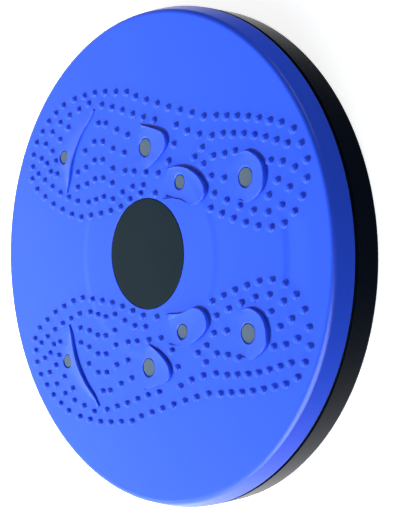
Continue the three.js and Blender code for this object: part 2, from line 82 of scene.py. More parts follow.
# The base; the solids don't have the rebate along its upper edge, which gives the photo's dark line
DECK_TOP = 17.3
DECK_UNDER = 14.3
BASE_EDGE = 2.0
BASE_HUB_RADIUS = 15
BASE_HUB_BOTTOM = 12.5
BASE_RING_RIB = (91.3, 93.5)
BASE_RIB_BOTTOM = 6.0
BASE_RIB_HALF = 1
REBATE = 1.1

# The race, its balls and their cage
RACE_PITCH = 92.4
RACE_HALF = 7.0
LOWER_RACE = 19.8
UPPER_RACE = 22.8
GROOVE_RADIUS = 4.35
BALL_RADIUS = 4.0
BALL_COUNT = 24
BALL_Z = 21.3
CAGE_INNER, CAGE_OUTER = 86.5, 98.3
CAGE_BOTTOM, CAGE_TOP = 20.1, 22.5
CAGE_HOLE = 4.4

# The badge and its recess
BADGE_RADIUS = 27.6
BADGE_SEAT = 27.3
BADGE_SHIFT = 1.8
RECESS_CHAMFER = 0.15

# The pivot; the bolt's thread is a row of round grooves, 1 mm apart
BOLT_HOLE = 3.3
BUSH_RADIUS = 5.0
BUSH_FLANGE = 7.5
BUSH_BOTTOM, BUSH_STEP, BUSH_TOP = 11.0, 12.2, 17.0
WASHER_EDGE = 0.15
HEX_FLATS = 10
HEX_FACE = 4.75
HEAD_BOTTOM, HEAD_TOP = 23.0, 27.0
BOLT_END = 2.2
THREAD_START = 2.9
THREAD_TURNS = 10
THREAD_CREST = 2.98
THREAD_ROOT = 2.5
NUT_BOTTOM, COLLAR_TOP, NUT_TOP = 3.2, 4.7, 9.2
COLLAR_RADIUS = 4.7

# The rubber feet and their sockets
FOOT_RADIUS = 8.0
FOOT_THICKNESS = 4.2
FOOT_RING = 108.0
FOOT_COUNT = 6
BOSS_RADIUS = 10.1
SOCKET_RADIUS = 8.3
SOCKET_ROOF = 4.5
CORE_RADIUS = 6.4

# Nubs
NUB_HEIGHT = 1.5
NUB_FOOT = 1.8
NUB_TIP = 1.32
NUB_CROWN = 0.08
NUB_ROUND = 0.4
FILLET_WIDTH = 0.2
FILLET_HEIGHT = 0.14
FILLET_SINK = 0.02
NUB_ROOM = 1

# Pads: the full step, the exponent that keeps a step high up to its ends, the share of its length where it
# stops falling, the least width of a ramp, the step's lean and rounding as shares of its height, and the most
# that the rounding may be
PAD_STEP = 2.2
PAD_FULLNESS = 0.16
PAD_END = 0.05
PAD_WIDTH = 3.0
PAD_LEAN = 0.1
PAD_ROUND = 0.3
PAD_ROUND_MOST = 0.55

# Magnets and their pockets
MAGNET_THICKNESS = 1.5
MAGNET_DEPTH = 0.8
MOUTH_ROOM = 0.8

# The floor
FLOOR_HALF = 9000
FLOOR_DROP = 0.2

# The camera's place in metres, its roll in degrees and its lens in millimetres; the photo shows the disc on its
# edge, hence the roll
CAMERA_PLACE = (-0.00195, -0.4389, 0.4008)
CAMERA_WAY = (0.00221, 0.72812, -0.68545)
CAMERA_ROLL = -90.91
CAMERA_LENS = 80.40

# The point that the lights look at, in metres
LIGHT_AIM = (0, 0, 0.02)

# The right footprint: shares of its halves, from its middle, give places on the face
FOOT_MIDDLE = (49.3, -6.0)
FOOT_HALF = (37.6, 103.0)

# Rows of nubs: the number of nubs in a row, and the shares across and along the footprint that it runs through
ROWS = [
    (3, [(-0.12, 1.01), (0.23, 0.995)]),
    (5, [(0.41, 0.963), (0.69, 0.85), (0.89, 0.714)]),
    (6, [(0.95, 0.617), (0.98, 0.43), (0.91, 0.193)]),
    (7, [(0.83, 0.123), (0.61, -0.126), (0.43, -0.36)]),
    (7, [(0.41, -0.44), (0.34, -0.65), (0.22, -0.842)]),
    (8, [(0.13, -0.912), (-0.23, -0.985), (-0.64, -0.96), (-0.95, -0.857), (-1, -0.774)]),
    (5, [(-0.98, -0.694), (-0.88, -0.55), (-0.73, -0.395)]),
    (1, [(-0.51, -0.007)]),
    (7, [(-0.52, 0.096), (-0.68, 0.336), (-0.74, 0.578)]),
    (5, [(-0.69, 0.659), (-0.52, 0.822), (-0.28, 0.966)]),
    (8, [(-0.06, 0.953), (0.35, 0.886), (0.64, 0.75), (0.85, 0.497)]),
    (6, [(0.8, 0.39), (0.68, 0.235), (0.54, 0.074), (0.48, -0.014)]),
    (4, [(0.37, -0.169), (0.24, -0.28), (0.17, -0.41)]),
    (7, [(0.18, -0.482), (0.12, -0.67), (-0.03, -0.875)]),
    (8, [(-0.32, -0.915), (-0.73, -0.845), (-0.82, -0.76), (-0.72, -0.58), (-0.55, -0.42)]),
    (4, [(-0.37, 0.079), (-0.38, 0.17), (-0.52, 0.316)]),
    (3, [(-0.48, 0.389), (-0.54, 0.516)]),
    (5, [(-0.51, 0.607), (-0.36, 0.76), (-0.16, 0.895)]),
    (2, [(-0.05, 0.839), (0.08, 0.873)]),
    (2, [(-0.09, 0.782), (0.1, 0.792)]),
    (3, [(0.25, 0.821), (0.56, 0.675)]),
    (2, [(-0.31, 0.603), (-0.1, 0.601)]),
    (3, [(-0.28, 0.526), (0.19, 0.536)]),
    (3, [(-0.22, 0.459), (0.3, 0.459)]),
    (1, [(0.55, 0.421)]),
    (4, [(-0.22, 0.392), (0.29, 0.389), (0.53, 0.363)]),
    (2, [(-0.3, 0.319), (-0.1, 0.312)]),
    (2, [(0.17, 0.307), (0.42, 0.275)]),
    (3, [(-0.15, 0.216), (0.08, 0.22), (0.33, 0.191)]),
    (3, [(-0.17, 0.147), (-0.23, -0.033)]),
    (2, [(-0.08, -0.113), (0.13, -0.151)]),
    (1, [(-0.07, -0.292)]),
    (2, [(-0.17, -0.351), (0.04, -0.345)]),
    (2, [(-0.33, -0.401), (-0.08, -0.418)]),
    (2, [(-0.37, -0.486), (-0.07, -0.49)]),
    (1, [(-0.05, -0.559)]),
    (3, [(-0.62, -0.762), (-0.43, -0.819), (-0.24, -0.845)]),
    (1, [(-0.21, -0.776)]),
]


class Pad:
    """A ramp with a magnet.

    Places are shares of the footprint, the rise is a share of the full step, and the lift of the face at the
    magnet is a share of the pad's own rise.
    """

    def __init__(self, name, magnet_radius, magnet, rise, lift, step, fade):
        self.name = name
        self.magnet_radius = magnet_radius
        self.magnet = magnet
        self.rise = rise * PAD_STEP
        self.lift = lift * rise * PAD_STEP
        self.step = step
        self.fade = fade


PADS = [
    Pad("toe", 3.4, (0.16, 0.716), 0.7, 0.27,
        [(-0.36, 0.685), (-0.2, 0.662), (0, 0.643), (0.2, 0.612), (0.44, 0.55), (0.63, 0.477),
         (0.745, 0.445)],
        [(-0.36, 0.685), (-0.1, 0.745), (0.12, 0.765), (0.34, 0.725), (0.6, 0.6), (0.745, 0.445)]),
    Pad("ball", 4.4, (0.15, 0.055), 0.75, 0.37,
        [(-0.14, 0.035), (-0.05, -0.035), (0.1, -0.1), (0.2, -0.113), (0.3, -0.095), (0.37, -0.035),
         (0.45, 0.075)],
        [(-0.14, 0.035), (-0.07, 0.12), (0.15, 0.16), (0.37, 0.14), (0.45, 0.075)]),
    Pad("arch", 3.4, (-0.35, -0.194), 0.85, 0.44,
        [(-0.56, -0.09), (-0.58, -0.2), (-0.66, -0.3), (-0.6, -0.357), (-0.48, -0.378),
         (-0.33, -0.345), (-0.2, -0.27), (-0.155, -0.19), (-0.17, -0.11)],
        [(-0.56, -0.09), (-0.47, -0.05), (-0.35, -0.04), (-0.24, -0.06), (-0.17, -0.11)]),
    Pad("heel", 4.4, (-0.365, -0.627), 0.8, 0.45,
        [(-0.65, -0.6), (-0.67, -0.65), (-0.6, -0.712), (-0.49, -0.742), (-0.36, -0.752),
         (-0.23, -0.742), (-0.12, -0.705), (-0.05, -0.65), (-0.07, -0.6)],
        [(-0.65, -0.6), (-0.55, -0.545), (-0.36, -0.52), (-0.17, -0.545), (-0.07, -0.6)]),
]


# Curves of the footprint

def foot_point(share):
    return tuple(m + s * h for m, s, h in zip(FOOT_MIDDLE, share, FOOT_HALF))


def curve_point(points, t):
    """A point of the centripetal Catmull-Rom curve, t from 0 to 1."""
    count = len(points)
    place = (count - 1) * t
    i = min(int(place), count - 2)
    w = place - i

    def at(k):
        if k < 0:
            return tuple(2 * a - b for a, b in zip(points[0], points[1]))
        if k >= count:
            return tuple(2 * a - b for a, b in zip(points[-1], points[-2]))
        return points[k]

    p = [at(i + k) for k in (-1, 0, 1, 2)]
    d = [max(hypot(b[0] - a[0], b[1] - a[1]) ** 0.5, 1e-4) for a, b in zip(p, p[1:])]
    result = []
    for axis in (0, 1):
        x0, x1, x2, x3 = (q[axis] for q in p)
        t1 = ((x1 - x0) / d[0] - (x2 - x0) / (d[0] + d[1]) + (x2 - x1) / d[1]) * d[1]
        t2 = ((x2 - x1) / d[1] - (x3 - x1) / (d[1] + d[2]) + (x3 - x2) / d[2]) * d[1]
        c2 = -3 * x1 + 3 * x2 - 2 * t1 - t2
        c3 = 2 * x1 - 2 * x2 + t1 + t2
        result.append(x1 + t1 * w + c2 * w * w + c3 * w ** 3)
    return tuple(result)


def spaced(shares, steps, divisions=200):
    """Points evenly along the curve through some shares of the footprint, both ends included."""
    points = [foot_point(share) for share in shares]
    samples = [curve_point(points, k / divisions) for k in range(divisions + 1)]
    lengths = [0.0]
    for a, b in zip(samples, samples[1:]):
        lengths.append(lengths[-1] + hypot(b[0] - a[0], b[1] - a[1]))
    found = []
    for i in range(steps + 1):
        target = lengths[-1] * i / steps
        k = min(max(bisect_left(lengths, target), 1), divisions)
        part = (target - lengths[k - 1]) / (lengths[k] - lengths[k - 1])
        found.append(curve_point(points, (k - 1 + part) / divisions))
    return found


def row_places(nubs, shares):
    return spaced(shares, nubs - 1) if nubs > 1 else [foot_point(shares[0])]


def inside(point, loop):
    hit = False
    for a, b in zip(loop, loop[1:] + loop[:1]):
        if (a[1] > point[1]) != (b[1] > point[1]):
            if point[0] < a[0] + (b[0] - a[0]) * (point[1] - a[1]) / (b[1] - a[1]):
                hit = not hit
    return hit


def clear_of_pads(point):
    for step, loop in pad_loops:
        nearest = min(hypot(p[0] - point[0], p[1] - point[1]) for p in step)
        if inside(point, loop) or nearest <= NUB_FOOT + NUB_ROOM:
            return False
    return True


def beside_badge(x, y):
    """The place itself, or one moved straight out from the badge until a nub there clears its recess."""
    factor = max(1, (BADGE_RADIUS + 2 * GAP + NUB_FOOT) / hypot(x - BADGE_SHIFT, y))
    return BADGE_SHIFT + (x - BADGE_SHIFT) * factor, y * factor


pad_loops = []
for pad in PADS:
    step_line, fade_line = spaced(pad.step, 8), spaced(pad.fade, 8)
    pad_loops.append((step_line, step_line + fade_line[1:-1][::-1]))
nub_places = [place for row in ROWS for place in row_places(*row) if clear_of_pads(place)]


# Mesh helpers

def rounded(profile, steps=5):
    """A closed profile of (r, z) or (r, z, corner radius), with its corners rounded."""
    out = []
    count = len(profile)
    for i, corner in enumerate(profile):
        here = Vector(corner[:2])
        radius = corner[2] if len(corner) > 2 else 0
        if not radius:
            out.append(tuple(here))
            continue
        to_a = (Vector(profile[i - 1][:2]) - here).normalized()
        to_b = (Vector(profile[(i + 1) % count][:2]) - here).normalized()
        half = to_a.angle(to_b) / 2
        centre = here + (to_a + to_b).normalized() * (radius / sin(half))
        start = here + to_a * (radius / tan(half)) - centre
        end = here + to_b * (radius / tan(half)) - centre
        turn = start.angle(end)
        for k in range(steps + 1):
            w = k / steps
            point = (start * sin((1 - w) * turn) + end * sin(w * turn)) / sin(turn)
            out.append(tuple(centre + point))
    return out


def arc(centre, radius, first, last, steps):
    angles = [radians(first + (last - first) * k / steps) for k in range(steps + 1)]
    return [(centre[0] + radius * cos(a), centre[1] + radius * sin(a)) for a in angles]


def lathe(profile, sides, centre=(0, 0)):
    """Vertices and faces of an anticlockwise profile turned about the upright axis; r = 0 is one point."""
    verts, faces, rings = [], [], []
    for r, z in profile:
        if r < 1e-6:
            rings.append([len(verts)] * sides)
            verts.append((centre[0], centre[1], z))
        else:
            rings.append(list(range(len(verts), len(verts) + sides)))
            for j in range(sides):
                angle = 2 * pi * j / sides
                verts.append((centre[0] + r * cos(angle), centre[1] + r * sin(angle), z))
    for i, lower in enumerate(rings):
        upper = rings[(i + 1) % len(rings)]
        if lower[0] == lower[1] and upper[0] == upper[1]:
            continue
        for j in range(sides):
            k = (j + 1) % sides
            face = [lower[j], lower[k], upper[k], upper[j]]
            faces.append([v for n, v in enumerate(face) if v not in face[:n]])
    return verts, faces


def block(low, high, angle):
    """A box, turned about the upright axis."""
    verts = [(x, y, z) for z in (low[2], high[2]) for y in (low[1], high[1]) for x in (low[0], high[0])]
    turned = [(x * cos(angle) - y * sin(angle), x * sin(angle) + y * cos(angle), z) for x, y, z in verts]
    return turned, [[0, 2, 3, 1], [4, 5, 7, 6], [0, 1, 5, 4], [2, 6, 7, 3], [0, 4, 6, 2], [1, 3, 7, 5]]


def prism(sides, circumradius, bottom, top):
    angles = circle_angles(sides, 0)
    verts = [(circumradius * cos(a), circumradius * sin(a), z) for z in (bottom, top) for a in angles]
    faces = [list(range(sides))[::-1], list(range(sides, 2 * sides))]
    faces += [[k, (k + 1) % sides, sides + (k + 1) % sides, sides + k] for k in range(sides)]
    return verts, faces


def gathered(parts):
    """Several lists of vertices and faces as one."""
    verts, faces = [], []
    for part_verts, part_faces in parts:
        base = len(verts)
        verts += part_verts
        faces += [[base + v for v in face] for face in part_faces]
    return verts, faces


def circle_angles(count, start):
    """Angles evenly round the circle, the first one some share of a step on."""
    return [(i + start) * 2 * pi / count for i in range(count)]


def solid(name, shape):
    verts, faces = shape
    mesh = bpy.data.meshes.new(name)
    mesh.from_pydata([tuple(c * MM for c in v) for v in verts], [], faces)
    mesh.update()
    obj = bpy.data.objects.new(name, mesh)
    bpy.context.scene.collection.objects.link(obj)
    return obj


def combine(target, other, operation):
    """Joins, cuts or intersects with another solid, which is then removed."""
    change = target.modifiers.new("combine", "BOOLEAN")
    change.operation = operation
    change.solver = "MANIFOLD"
    change.object = other
    bpy.context.view_layer.update()
    evaluated = target.evaluated_get(bpy.context.evaluated_depsgraph_get())
    result = bpy.data.meshes.new_from_object(evaluated)
    if not result.polygons:
        raise RuntimeError(f"combining {target.name} with {other.name} left nothing")
    old = target.data
    target.modifiers.clear()
    target.data = result
    bpy.data.meshes.remove(old)
    used = other.data
    bpy.data.objects.remove(other)
    bpy.data.meshes.remove(used)


def finish_piece(obj, body, material, nodes, sharp=32):
    """Smooth shading with sharp edges kept, a material, and the piece's place in the model."""
    obj.data.shade_smooth()
    obj.data.set_sharp_from_angle(angle=radians(sharp))
    shading = obj.modifiers.new("even_normals", "WEIGHTED_NORMAL")
    shading.mode = "FACE_AREA"
    shading.weight = 80
    shading.keep_sharp = True
    obj.data.materials.clear()
    obj.data.materials.append(material)
    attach(obj, body)
    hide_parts(*nodes)


# Materials

class Nodes:
    """A short way to write one material's nodes, on object coordinates in metres."""

    def __init__(self, name, **sockets):
        self.material = bpy.data.materials.new(name)
        self.material.use_nodes = True
        self.tree = self.material.node_tree
        self.shader = self.tree.nodes["Principled BSDF"]
        self.place = self.add("ShaderNodeTexCoord").outputs["Object"]
        for socket, value in sockets.items():
            self.shader.inputs[socket.replace("_", " ")].default_value = value

    def add(self, kind, **settings):
        node = self.tree.nodes.new(kind)
        for key, value in settings.items():
            setattr(node, key, value)
        return node

    def link(self, source, target):
        self.tree.links.new(source, target)

    def noise(self, per_metre, detail, roughness=0.5, stretch=None):
        node = self.add("ShaderNodeTexNoise")
        node.inputs["Scale"].default_value = per_metre
        node.inputs["Detail"].default_value = detail
        node.inputs["Roughness"].default_value = roughness
        place = self.place
        if stretch:
            mapping = self.add("ShaderNodeMapping")
            mapping.inputs["Scale"].default_value = stretch
            self.link(place, mapping.inputs["Vector"])
            place = mapping.outputs["Vector"]
        self.link(place, node.inputs["Vector"])
        return node.outputs["Fac"]

    def spread(self, value, low, high, first=0.3, last=0.7, smooth=False):
        """Low where the value is first or less, high where it is last or more."""
        node = self.add("ShaderNodeMapRange")
        if smooth:
            node.interpolation_type = "SMOOTHSTEP"
        for socket, number in zip(("From Min", "From Max", "To Min", "To Max"), (first, last, low, high)):
            node.inputs[socket].default_value = number
        self.link(value, node.inputs["Value"])
        return node.outputs["Result"]

    def math(self, operation, a, b=0.0):
        node = self.add("ShaderNodeMath", operation=operation)
        for socket, value in zip(node.inputs, (a, b)):
            if isinstance(value, (int, float)):
                socket.default_value = value
            else:
                self.link(value, socket)
        return node.outputs[0]

    def axes(self):
        """The place across, along and up."""
        split = self.add("ShaderNodeSeparateXYZ")
        self.link(self.place, split.inputs[0])
        return split.outputs

    def radius(self):
        """The distance from the upright axis."""
        across, along, _ = self.axes()
        squares = self.math("ADD", self.math("POWER", across, 2), self.math("POWER", along, 2))
        return self.math("SQRT", squares)

    def colours(self, factor, *stops):
        """Colours along a factor: (place, (r, g, b)), ..."""
        ramp = self.add("ShaderNodeValToRGB")
        elements = ramp.color_ramp.elements
        while len(elements) < len(stops):
            elements.new(0.5)
        for element, (place, colour) in zip(elements, stops):
            element.position = place
            element.color = (*colour, 1)
        self.link(factor, ramp.inputs["Fac"])
        return ramp.outputs["Color"]

    def base(self, colour):
        self.link(colour, self.shader.inputs["Base Color"])

    def rough(self, value):
        self.link(value, self.shader.inputs["Roughness"])

    def bump(self, height, depth_mm):
        node = self.add("ShaderNodeBump")
        node.inputs["Strength"].default_value = 1
        node.inputs["Distance"].default_value = depth_mm * MM
        self.link(height, node.inputs["Height"])
        last = self.shader.inputs["Normal"].links
        if last:
            self.link(last[0].from_socket, node.inputs["Normal"])
        self.link(node.outputs["Normal"], self.shader.inputs["Normal"])

    def turning(self, pitch_mm, depth_mm):
        """The fine rings that a lathe leaves."""
        self.bump(self.math("SINE", self.math("MULTIPLY", self.radius(), 2 * pi / (pitch_mm * MM))), depth_mm)


def mottled(name, tint, rough, grain=None, **sockets):
    """A material with noise in its colour, its roughness and, if it has a grain, its surface.

    Each noise is given by its scale per metre and its detail, then two colours, two roughnesses or a depth in
    millimetres.
    """
    n = Nodes(name, **sockets)
    scale, detail, dark, light = tint
    n.base(n.colours(n.noise(scale, detail), (0.3, dark), (0.7, light)))
    scale, detail, low, high = rough
    n.rough(n.spread(n.noise(scale, detail), low, high))
    if grain:
        scale, detail, depth = grain
        n.bump(n.noise(scale, detail), depth)
    return n


def blue_plastic():
    """Blue plastic with two faint marks: a soft step round the middle, and a sink between the heels."""
    n = mottled("blue_plastic", (14, 2, (0.0145, 0.057, 0.55), (0.0160, 0.060, 0.57)), (900, 3, 0.29, 0.34),
                (3200, 2, 0.004), IOR=1.5, Specular_IOR_Level=0.38)
    r = n.radius()
    n.bump(n.spread(r, 1, 0, 0.0477, 0.0527, True), 0.2)
    across, along, _ = n.axes()
    sink_start, sink_floor, sink_end = 0.0925, 0.0975, 0.110
    between = n.spread(n.math("ABSOLUTE", across), 1, 0, 0.010, 0.020, True)
    heels = n.spread(along, 1, 0, -0.06, -0.02)
    inner = n.spread(r, 0, 1, sink_start, sink_floor, True)
    outer = n.spread(r, 1, 0, sink_floor, sink_end, True)
    sink = n.math("MULTIPLY", n.math("MULTIPLY", n.math("MULTIPLY", inner, outer), between), heels)
    n.bump(n.math("SUBTRACT", 1, sink), 0.35)
    return n.material


def magnet():
    n = Nodes("magnet", Metallic=0.2, Specular_IOR_Level=0.25)
    speck = n.noise(2600, 3, 0.6)
    n.base(n.colours(speck, (0.25, (0.045, 0.070, 0.100)), (0.55, (0.062, 0.092, 0.125)),
                     (0.8, (0.090, 0.122, 0.150))))
    n.rough(n.spread(n.noise(1400, 2), 0.4, 0.6))
    n.bump(n.noise(5000, 2, 0.5, (1, 0.12, 1)), 0.01)
    return n.material


def zinc_steel():
    n = mottled("zinc_steel", (600, 3, (0.46, 0.47, 0.49), (0.60, 0.61, 0.63)), (900, 3, 0.26, 0.42),
                Metallic=1.0)
    n.turning(0.35, 0.004)
    n.bump(n.noise(3000, 2), 0.006)
    return n.material


def bush_brass():
    n = mottled("bush_brass", (500, 3, (0.52, 0.34, 0.12), (0.64, 0.44, 0.18)), (800, 3, 0.25, 0.4),
                Metallic=1.0)
    n.turning(0.3, 0.004)
    return n.material


BLUE = blue_plastic()
BLACK = mottled(
    "black_plastic", (30, 3, (0.001, 0.003, 0.008), (0.0016, 0.004, 0.010)), (1200, 3, 0.25, 0.33),
    (2600, 3, 0.02), IOR=1.46, Specular_IOR_Level=0.08).material
BADGE = mottled(
    "badge_plastic", (40, 3, (0.0033, 0.0090, 0.0135), (0.0042, 0.0105, 0.0153)), (1500, 3, 0.3, 0.38),
    (3000, 2, 0.015), IOR=1.46, Specular_IOR_Level=0.15).material
FERRITE = magnet()
NYLON = mottled(
    "nylon", (90, 2, (0.62, 0.60, 0.52), (0.70, 0.68, 0.60)), (1500, 2, 0.4, 0.55), (2400, 2, 0.015),
    Subsurface_Weight=0.15, Subsurface_Radius=(0.002, 0.0018, 0.0015)).material
BALL_STEEL = mottled(
    "bearing_steel", (700, 3, (0.56, 0.56, 0.57), (0.66, 0.66, 0.67)), (500, 3, 0.1, 0.22),
    (6000, 1, 0.002), Metallic=1.0).material
ZINC = zinc_steel()
BRASS = bush_brass()
RUBBER = mottled(
    "foot_rubber", (120, 3, (0.014, 0.014, 0.015), (0.022, 0.022, 0.022)), (1000, 3, 0.75, 0.9),
    (2200, 3, 0.03), Specular_IOR_Level=0.3).material


# The top plate

groove_rise = BALL_Z - LOWER_RACE
groove_angle = degrees(atan2(groove_rise, sqrt(GROOVE_RADIUS ** 2 - groove_rise ** 2)))
race_inner, race_outer = RACE_PITCH - RACE_HALF, RACE_PITCH + RACE_HALF
inner_wall = DISC_RADIUS - WALL
wall_slope = RIM_DRAFT / (FACE - RIM_ROUND - RIM_BOTTOM)
rim_corner = DISC_RADIUS - wall_slope * (FACE - RIM_BOTTOM)


def ring_rib(radii, bottom, under, root_round):
    """The corners of a round rib, in the profile of the plate that it hangs from."""
    inner, outer = radii
    return [(inner, under, root_round), (inner, bottom, 0.4), (outer, bottom, 0.4),
            (outer, under, root_round)]


def spokes(inner, outer, half, bottom, under):
    """Straight ribs, let into what is at both their ends and into the face that they hang from."""
    low, high = (inner - ROOT, -half, bottom), (outer + ROOT, half, under + ROOT)
    return gathered(block(low, high, a) for a in circle_angles(RIB_COUNT, 0))


def ring_profile(inner, outer, bottom, top_z, edge):
    corners = ((inner, bottom), (outer, bottom), (outer, top_z), (inner, top_z))
    return rounded([(r, z, edge) for r, z in corners], 4)


def cylinder_profile(radius, bottom, top_z):
    return [(0, bottom), (radius, bottom), (radius, top_z), (0, top_z)]


def top_profile():
    return rounded([
        (BOLT_HOLE, HUB_BOTTOM, 0.3), (HUB_RADIUS, HUB_BOTTOM, 0.5), (HUB_RADIUS, FACE_UNDER, 0.8),
        *ring_rib(PLATE_RING_RIB, PLATE_RIB_BOTTOM, FACE_UNDER, 0.5),
        (race_inner, FACE_UNDER, 0.6), (race_inner, UPPER_RACE, 0.3),
        *arc((RACE_PITCH, BALL_Z), GROOVE_RADIUS, 180 - groove_angle, groove_angle, 12),
        (race_outer, UPPER_RACE, 0.3), (race_outer, FACE_UNDER, 0.6),
        (inner_wall - RIM_DRAFT, FACE_UNDER, 1.2), (inner_wall, RIM_BOTTOM, 0.3),
        (DISC_RADIUS, RIM_BOTTOM, 0.35), (rim_corner, FACE, RIM_ROUND),
        (HEAD_ROOM_RADIUS, FACE), (HEAD_ROOM_RADIUS, HEAD_SEAT), (BOLT_HOLE, HEAD_SEAT, 0.3),
    ], 7)


def nub(x, y):
    """A short stub with a rounded rim, a slightly domed top and a small fillet at its foot."""
    top_z = FACE + NUB_HEIGHT
    root = NUB_FOOT + FILLET_WIDTH
    profile = rounded([
        (0, FACE - ROOT), (root, FACE - ROOT), (root, FACE - FILLET_SINK), (NUB_FOOT, FACE + FILLET_HEIGHT),
        (NUB_TIP, top_z - NUB_CROWN, NUB_ROUND), (0, top_z),
    ], 4)
    return lathe(profile, 20, (x, y))


def pad_shape(pad, side, steps=32, corner=5):
    """A ramp: a rounded step on the heel side that runs out flush on the toe side."""
    step, fade = spaced(pad.step, steps), spaced(pad.fade, steps)
    low = FACE - ROOT
    size = corner + 3
    verts, faces = [], []
    for i in range(steps + 1):
        share = min(max(i / steps, PAD_END), 1 - PAD_END)
        height = pad.rise * sin(pi * share) ** PAD_FULLNESS
        inner = min(max(i, 1), steps - 1)
        along = Vector(fade[inner]) - Vector(step[inner])
        length = max(along.length, PAD_WIDTH)
        along.normalize()
        crest = (PAD_LEAN * height, FACE + height, min(PAD_ROUND_MOST, PAD_ROUND * height))
        for u, z in rounded([(0, low - ROOT), crest, (length, low)], corner):
            point = Vector(step[i]) + along * u
            verts.append((side * point.x, point.y, z))
    tips = [len(verts), len(verts) + 1]
    for ring in (verts[:size], verts[-size:]):
        verts.append(tuple(sum(axis) / size for axis in zip(*ring)))
    for i in range(steps):
        for k in range(size):
            a, b = i * size + k, i * size + (k + 1) % size
            faces.append([a, a + size, b + size, b])
    last = steps * size
    for k in range(size):
        b = (k + 1) % size
        faces.append([tips[0], k, b])
        faces.append([tips[1], last + b, last + k])
    if side < 0:
        faces = [face[::-1] for face in faces]
    return verts, faces


def magnet_top(pad):
    return FACE + pad.lift - MAGNET_DEPTH


def pocket(pad, side):
    """A bore for the magnet with a conical mouth."""
    x, y = foot_point(pad.magnet)
    bottom = magnet_top(pad) - MAGNET_THICKNESS - GAP
    bore = pad.magnet_radius + GAP
    mouth = bore + MOUTH_ROOM
    above = FACE + 5
    profile = [(0, bottom), (bore, bottom), (bore, magnet_top(pad)), (mouth, FACE + pad.lift), (mouth, above),
               (0, above)]
    return lathe(profile, 48, (side * x, y))


pairs = [(side, pad) for side in (1, -1) for pad in PADS]
top = solid("top_plate_moulding", lathe(top_profile(), ROUND_SIDES))
bars = spokes(HUB_RADIUS, race_inner, PLATE_RIB_HALF, PLATE_RIB_BOTTOM, FACE_UNDER)
combine(top, solid("bars", bars), "UNION")
combine(top, solid("ramps", gathered(pad_shape(pad, side) for side, pad in pairs)), "UNION")
nubs = [nub(*beside_badge(side * x, y)) for side in (1, -1) for x, y in nub_places]
combine(top, solid("nubs", gathered(nubs)), "UNION")
combine(top, solid("pockets", gathered(pocket(pad, side) for side, pad in pairs)), "DIFFERENCE")
recess_radius = BADGE_RADIUS + GAP
above_recess = FACE + 1
recess = rounded([
    (0, BADGE_SEAT), (recess_radius, BADGE_SEAT), (recess_radius, FACE - RECESS_CHAMFER),
    (recess_radius + RECESS_CHAMFER, FACE), (recess_radius + RECESS_CHAMFER, above_recess), (0, above_recess),
])
combine(top, solid("recess", lathe(recess, ROUND_SIDES, (BADGE_SHIFT, 0))), "DIFFERENCE")
finish_piece(top, "top", BLUE, ["top_plate"])

badge_bottom = BADGE_SEAT + GAP
badge_profile = rounded([
    (0, badge_bottom), (BADGE_RADIUS, badge_bottom, 0.1), (BADGE_RADIUS, FACE, 0.25), (0, FACE),
])
badge = solid("centre_badge_disc", lathe(badge_profile, ROUND_SIDES, (BADGE_SHIFT, 0)))
finish_piece(badge, "top", BADGE, ["centre_badge"])

for side, pad in pairs:
    side_name = "right" if side > 0 else "left"
    x, y = foot_point(pad.magnet)
    high = magnet_top(pad)
    low = high - MAGNET_THICKNESS
    disc = rounded([(0, low), (pad.magnet_radius, low, 0.2), (pad.magnet_radius, high, 0.3), (0, high)], 4)
    piece = solid(f"magnet_disc_{side_name}_{pad.name}", lathe(disc, 64, (side * x, y)))
    finish_piece(piece, "top", FERRITE, [f"magnet_{side_name}_{pad.name}"])


# The base plate and its feet

foot_places = [(FOOT_RING * cos(a), FOOT_RING * sin(a)) for a in circle_angles(FOOT_COUNT, 0.5)]


def base_profile():
    hub_bore = BUSH_RADIUS + GAP
    rebated, ledge = DISC_RADIUS - REBATE, DECK_TOP - REBATE
    return rounded([
        (hub_bore, BASE_HUB_BOTTOM, 0.2), (BASE_HUB_RADIUS, BASE_HUB_BOTTOM, 0.4),
        (BASE_HUB_RADIUS, DECK_UNDER, 0.6), *ring_rib(BASE_RING_RIB, BASE_RIB_BOTTOM, DECK_UNDER, 0.6),
        (inner_wall, DECK_UNDER, 1.0), (inner_wall, BASE_EDGE, 0.4), (DISC_RADIUS, BASE_EDGE, 0.9),
        (DISC_RADIUS, ledge, 0.25), (rebated, ledge, 0.1), (rebated, DECK_TOP, 0.2),
        (race_outer, DECK_TOP, 0.5), (race_outer, LOWER_RACE, 0.3),
        *arc((RACE_PITCH, BALL_Z), GROOVE_RADIUS, -groove_angle, groove_angle - 180, 12),
        (race_inner, LOWER_RACE, 0.3), (race_inner, DECK_TOP, 0.5), (hub_bore, DECK_TOP, 0.2),
    ], 6)


base = solid("base_plate_moulding", lathe(base_profile(), ROUND_SIDES))
ribs = spokes(BASE_HUB_RADIUS, inner_wall, BASE_RIB_HALF, BASE_RIB_BOTTOM, DECK_UNDER)
combine(base, solid("ribs", ribs), "UNION")
boss_top = DECK_UNDER + ROOT
boss = rounded([(0, BASE_EDGE), (BOSS_RADIUS, BASE_EDGE, 0.4), (BOSS_RADIUS, boss_top), (0, boss_top)])
combine(base, solid("bosses", gathered(lathe(boss, 64, place) for place in foot_places)), "UNION")
socket = [(0, -2), (SOCKET_RADIUS, -2), (SOCKET_RADIUS, SOCKET_ROOF), (CORE_RADIUS, SOCKET_ROOF),
          (CORE_RADIUS, DECK_UNDER), (0, DECK_UNDER)]
combine(base, solid("sockets", gathered(lathe(socket, 64, place) for place in foot_places)), "DIFFERENCE")
finish_piece(base, "base", BLACK, ["base_plate"])


def sole_groove(start):
    return [(start, 0, 0.2), (start + 0.3, 0.5, 0.15), (start + 0.8, 0.5, 0.15), (start + 1.1, 0, 0.2)]


